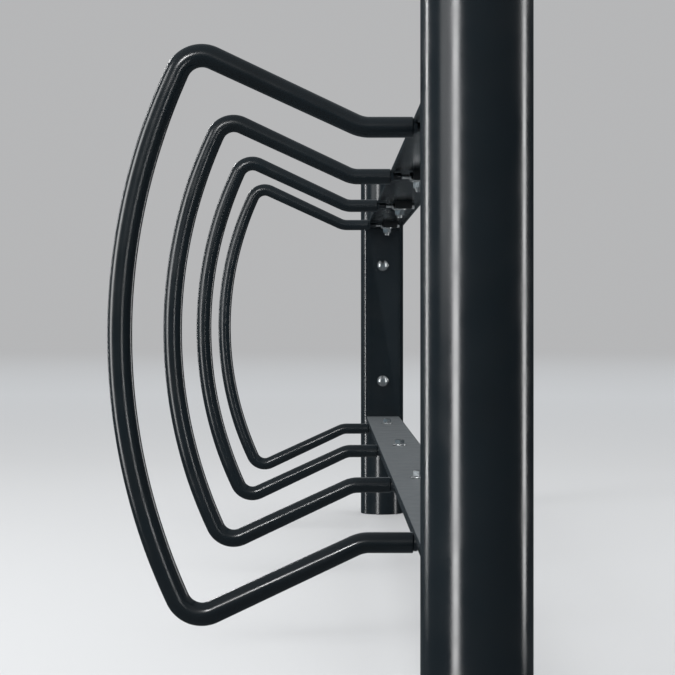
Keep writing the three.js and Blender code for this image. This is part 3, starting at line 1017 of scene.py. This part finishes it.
studio = {
    "floorHalf": 90.0,
    "nearColour": (0.612, 0.623, 0.635),
    "middlePaintedLightColour": (0.700, 0.720, 0.742),
    "wallColour": (0.467, 0.470, 0.476),
    "centre": (-0.8, -3.5, 0.0),
    "nearDistance": 7.0,
    "middleDistance": 13.0,
    "fadeStart": 9.0,
    "fadeEnd": 34.0,
    "floorRoughness": 0.9,
    "floorGloss": 0.1,
    "skyStrength": 0.80,
    "mirroredFloor": (0.130, 0.142, 0.150),
    "mirroredLeft": (0.135, 0.175, 0.200),
    "mirroredRight": (0.015, 0.018, 0.020),
    "mirroredAbove": (0.300, 0.315, 0.326),
    "sideways": (-1.4, 1.4),
    "rising": (0.12, 0.4),
    "falling": (-0.35, -0.08),
}


def addFloor(look):
    half = look["floorHalf"]
    mesh = bpy.data.meshes.new("floor")
    corners = [(-half, -half, 0.0), (half, -half, 0.0), (half, half, 0.0), (-half, half, 0.0)]
    mesh.from_pydata(corners, [], [(0, 1, 2, 3)])
    floor = placed("floor", mesh)
    material, tree, shader = nodeMaterial("floorPaint")
    coordinates = tree.nodes.new("ShaderNodeTexCoord")
    distance = tree.nodes.new("ShaderNodeVectorMath")
    distance.operation = "DISTANCE"
    distance.inputs[1].default_value = look["centre"]
    tree.links.new(coordinates.outputs["Object"], distance.inputs[0])
    # Painted light: the floor is painted lighter further off, where the lamps' light has fallen away.
    far = spread(tree, distance.outputs["Value"], 0.0, 1.0, look["nearDistance"], look["middleDistance"])
    tree.links.new(blended(tree, far, look["nearColour"], look["middlePaintedLightColour"]), shader.inputs["Base Color"])
    shader.inputs["Roughness"].default_value = look["floorRoughness"]
    shader.inputs["Specular IOR Level"].default_value = look["floorGloss"]
    fade = spread(tree, distance.outputs["Value"], 0.0, 1.0, look["fadeStart"], look["fadeEnd"])
    fade.node.interpolation_type = "SMOOTHERSTEP"
    wall = tree.nodes.new("ShaderNodeEmission")
    wall.inputs["Color"].default_value = (*look["wallColour"], 1.0)
    mix = tree.nodes.new("ShaderNodeMixShader")
    tree.links.new(fade, mix.inputs["Fac"])
    tree.links.new(shader.outputs["BSDF"], mix.inputs[1])
    tree.links.new(wall.outputs["Emission"], mix.inputs[2])
    tree.links.new(mix.outputs["Shader"], tree.nodes["Material Output"].inputs["Surface"])
    mesh.materials.append(material)
    floor.visible_glossy = False


# The camera sees a plain wall. What shines sees the floor below, walls that darken from the
# front left to the back right, and a ceiling.
def addWorld(look):
    world = bpy.data.worlds.new("studioWorld")
    world.use_nodes = True
    tree = world.node_tree
    tree.nodes.clear()
    output = tree.nodes.new("ShaderNodeOutputWorld")
    wall = tree.nodes.new("ShaderNodeBackground")
    wall.inputs["Color"].default_value = (*look["wallColour"], 1.0)
    lit = tree.nodes.new("ShaderNodeBackground")
    lit.inputs["Color"].default_value = (1.0, 1.0, 1.0, 1.0)
    lit.inputs["Strength"].default_value = look["skyStrength"]
    coordinates = tree.nodes.new("ShaderNodeTexCoord")
    direction = tree.nodes.new("ShaderNodeSeparateXYZ")
    tree.links.new(coordinates.outputs["Generated"], direction.inputs["Vector"])
    diagonal = tree.nodes.new("ShaderNodeMath")
    diagonal.operation = "ADD"
    tree.links.new(direction.outputs["X"], diagonal.inputs[0])
    tree.links.new(direction.outputs["Y"], diagonal.inputs[1])
    across = spread(tree, diagonal.outputs["Value"], 0.0, 1.0, *look["sideways"])
    walls = blended(tree, across, look["mirroredLeft"], look["mirroredRight"])
    rise = spread(tree, direction.outputs["Z"], 0.0, 1.0, *look["rising"])
    fall = spread(tree, direction.outputs["Z"], 1.0, 0.0, *look["falling"])
    colour = blended(tree, fall, blended(tree, rise, walls, look["mirroredAbove"]), look["mirroredFloor"])
    mirrored = tree.nodes.new("ShaderNodeBackground")
    tree.links.new(colour, mirrored.inputs["Color"])
    path = tree.nodes.new("ShaderNodeLightPath")
    shining = tree.nodes.new("ShaderNodeMath")
    shining.operation = "MAXIMUM"
    tree.links.new(path.outputs["Is Glossy Ray"], shining.inputs[0])
    tree.links.new(path.outputs["Is Transmission Ray"], shining.inputs[1])
    shine = tree.nodes.new("ShaderNodeMixShader")
    tree.links.new(shining.outputs["Value"], shine.inputs["Fac"])
    tree.links.new(lit.outputs["Background"], shine.inputs[1])
    tree.links.new(mirrored.outputs["Background"], shine.inputs[2])
    mix = tree.nodes.new("ShaderNodeMixShader")
    tree.links.new(path.outputs["Is Camera Ray"], mix.inputs["Fac"])
    tree.links.new(shine.outputs["Shader"], mix.inputs[1])
    tree.links.new(wall.outputs["Background"], mix.inputs[2])
    tree.links.new(mix.outputs["Shader"], output.inputs["Surface"])
    bpy.context.scene.world = world


# A "shine" lamp only draws reflections, and a "light" lamp only lights. A lamp with "on" reaches
# only the pieces whose names start so. Lamps turn to the rack's middle, and low "shine" lamps stay
# level, except for one that faces up.
clampBolting = ("clampBolts", "clampNuts", "drawBolts", "jamNuts")
plateBolting = ("nearPlate", "farPlate")
frameParts = ("nearPost", "nearCap", "nearEnd", "farPost", "farCap", "farEnd", "lower", "upper",
              "post_foot")
aim = {"height": 0.5, "levelBelow": 3.0}
allParts = frameParts + plateBolting + clampBolting + ("bowedLoop", "clampBlocks")
lamps = {
    "leftBack": {"place": (-6.15, 3.02, 2.0), "size": (0.45, 5.1), "power": 138.0, "kind": "shine",
                 "on": allParts},
    "leftFront": {"place": (-2.50, -4.03, 0.9), "size": (0.85, 3.4), "power": 133.0, "kind": "shine",
                  "on": frameParts},
    "bowLeft": {"place": (-2.1, -2.08, 0.85), "size": (0.60, 2.3), "power": 35.0, "kind": "shine",
                "on": ("bowedLoop",)},
    "bowFront": {"place": (1.88, -12.2, -0.25), "size": (0.8, 1.9), "power": 56.0, "kind": "shine",
                 "on": ("bowedLoop",)},
    "highFront": {"place": (-2.82, -12.2, 4.5), "size": (0.95, 0.95), "power": 260.0, "kind": "shine",
                  "on": ("bowedLoop",)},
    "cornerBack": {"place": (-2.0, 4.3, 2.5), "size": (0.55, 0.55), "power": 22.0, "kind": "shine",
                   "on": ("bowedLoop",)},
    "right": {"place": (5.86, 0.19, 1.0), "size": (1.0, 3.3), "power": 104.0, "kind": "shine",
              "on": allParts},
    "leftPanel": {"place": (-6.5, -4.0, 2.05), "size": (3.4, 2.9), "power": 60.0, "kind": "shine",
                  "on": frameParts + ("bowedLoop",)},
    "plateLeft": {"place": (-2.5, -4.03, 0.9), "size": (0.75, 3.0), "power": 50.0, "kind": "shine",
                  "on": plateBolting},
    "plateRight": {"place": (3.0, -3.6, 0.9), "size": (0.75, 3.0), "power": 38.0, "kind": "shine",
                   "on": plateBolting},
    "boltFront": {"place": (-1.0, -6.0, 1.9), "size": (5.0, 2.0), "power": 3.5, "kind": "shine",
                  "on": clampBolting},
    "boltAbove": {"place": (0.1, 1.0, 4.4), "size": (2.0, 2.0), "power": 110.0, "kind": "shine",
                  "on": clampBolting},
    "boltBelow": {"place": (0.1, -0.2, 0.02), "size": (1.6, 4.4), "power": 4.0, "kind": "shine",
                  "on": clampBolting, "facesUp": True},
    "boltLeft": {"place": (-3.3, -2.9, 0.4), "size": (0.5, 0.8), "power": 3.0, "kind": "shine",
                 "on": clampBolting},
    "boltRight": {"place": (3.6, -2.9, 0.4), "size": (0.5, 0.8), "power": 3.5, "kind": "shine",
                  "on": clampBolting},
    "leftKey": {"place": (-6.5, -4.0, 3.8), "size": (3.4, 2.9), "power": 190.0, "kind": "light"},
    "overhead": {"place": (-1.3, -1.2, 4.5), "size": (3.0, 5.0), "power": 135.0, "kind": "light"},
}


def addLamp(name, look):
    data = bpy.data.lights.new(name, "AREA")
    data.shape = "RECTANGLE"
    data.size, data.size_y = look["size"]
    data.energy = look["power"]
    lamp = bpy.data.objects.new(name, data)
    lamp.location = look["place"]
    level = look["kind"] == "shine" and look["place"][2] < aim["levelBelow"]
    target = Vector((0.0, 0.0, look["place"][2] if level else aim["height"]))
    lamp.rotation_euler = (target - Vector(look["place"])).to_track_quat("-Z", "Y").to_euler()
    if "facesUp" in look:
        lamp.rotation_euler = (math.radians(180.0), 0.0, 0.0)
    lamp.visible_camera = False
    lamp.visible_diffuse = look["kind"] != "shine"
    lamp.visible_glossy = look["kind"] != "light"
    if "on" in look:
        reached = bpy.data.collections.new(name + "Reached")
        for piece in bpy.context.scene.objects:
            if piece.name.startswith(look["on"]):
                reached.objects.link(piece)
        lamp.light_linking.receiver_collection = reached
    bpy.context.collection.objects.link(lamp)


addFloor(studio)
addWorld(studio)
for name, look in lamps.items():
    addLamp(name, look)
bpy.context.scene.view_settings.view_transform = "Standard"
print("studio lit")
